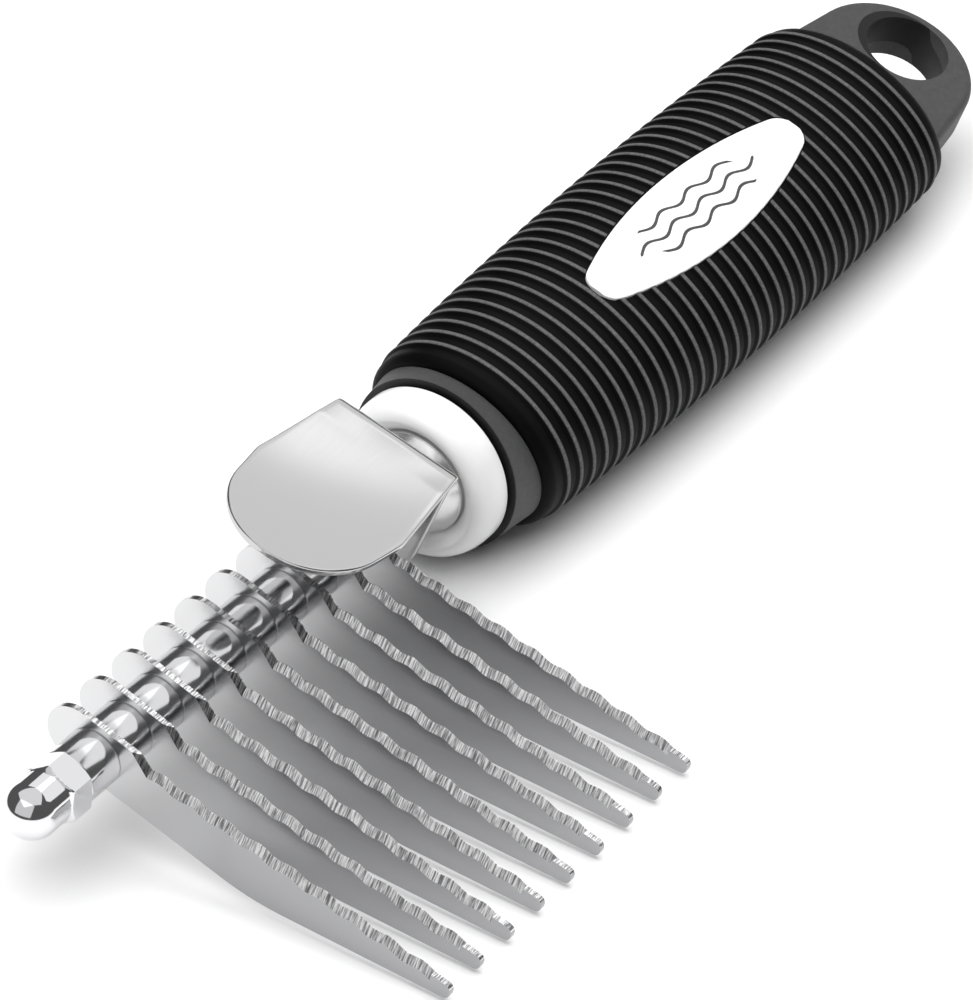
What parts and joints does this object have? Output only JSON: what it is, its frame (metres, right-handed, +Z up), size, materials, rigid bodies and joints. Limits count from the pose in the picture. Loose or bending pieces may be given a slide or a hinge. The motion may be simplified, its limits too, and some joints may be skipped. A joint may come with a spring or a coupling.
{
  "type": "dematting comb",
  "caption": "Dematting comb: serrated blades and spacers clamped on a rod by a domed nut, with a dished thumb rest and a ribbed rubber grip with a hanging tab.",
  "frame": {"origin": "middle of the comb's box, on the surface that it lies on", "axes": "+X along the rod from the domed nut to the hanging tab, blades towards -Y, +Z up with the comb lying on its blade tips and its grip"},
  "size_m": [0.2198, 0.0708, 0.0303],
  "materials": {
    "blade_steel": "ground and polished",
    "nut_chrome": "bright",
    "spacer_chrome": "bright",
    "rod_steel": "plated",
    "thumb_rest_steel": "satin",
    "boss_plastic": "moulded",
    "ferrule_plastic": "moulded, glossy",
    "core_plastic": "moulded, dark grey",
    "sleeve_rubber": "moulded, ribbed",
    "label_plastic": "printed plate"
  },
  "bodies": {
    "handle": {"blade_1": "blade_steel", "blade_2": "blade_steel", "blade_3": "blade_steel", "blade_4": "blade_steel", "blade_5": "blade_steel", "blade_6": "blade_steel", "blade_7": "blade_steel", "blade_8": "blade_steel", "blade_9": "blade_steel", "spacer_1": "spacer_chrome", "spacer_2": "spacer_chrome", "spacer_3": "spacer_chrome", "spacer_4": "spacer_chrome", "spacer_5": "spacer_chrome", "spacer_6": "spacer_chrome", "spacer_7": "spacer_chrome", "spacer_8": "spacer_chrome", "spacer_9": "spacer_chrome", "tension_rod": "rod_steel", "thumb_rest": "thumb_rest_steel", "neck_boss": "boss_plastic", "ferrule": "ferrule_plastic", "handle_core": "core_plastic", "grip_sleeve": "sleeve_rubber", "label_plate": "label_plastic"},
    "end_spacer": {"front_spacer": "spacer_chrome"},
    "nut": {"dome_nut": "nut_chrome"}
  },
  "joints": [
    {"name": "nut_travel", "type": "slide", "parent": "handle", "child": "end_spacer", "axis": [-1, 0, 0], "range_m": [0, 0.004]},
    {"name": "nut_turn", "type": "hinge", "parent": "end_spacer", "child": "nut", "pos_m": [-0.0989, 0.01845, 0.0127], "axis": [-1, 0, 0], "range_deg": [0, 1800]}
  ],
  "couplings": [
    {"joint": "nut_turn", "follows": "nut_travel", "rad_per_m": 7854}
  ]
}
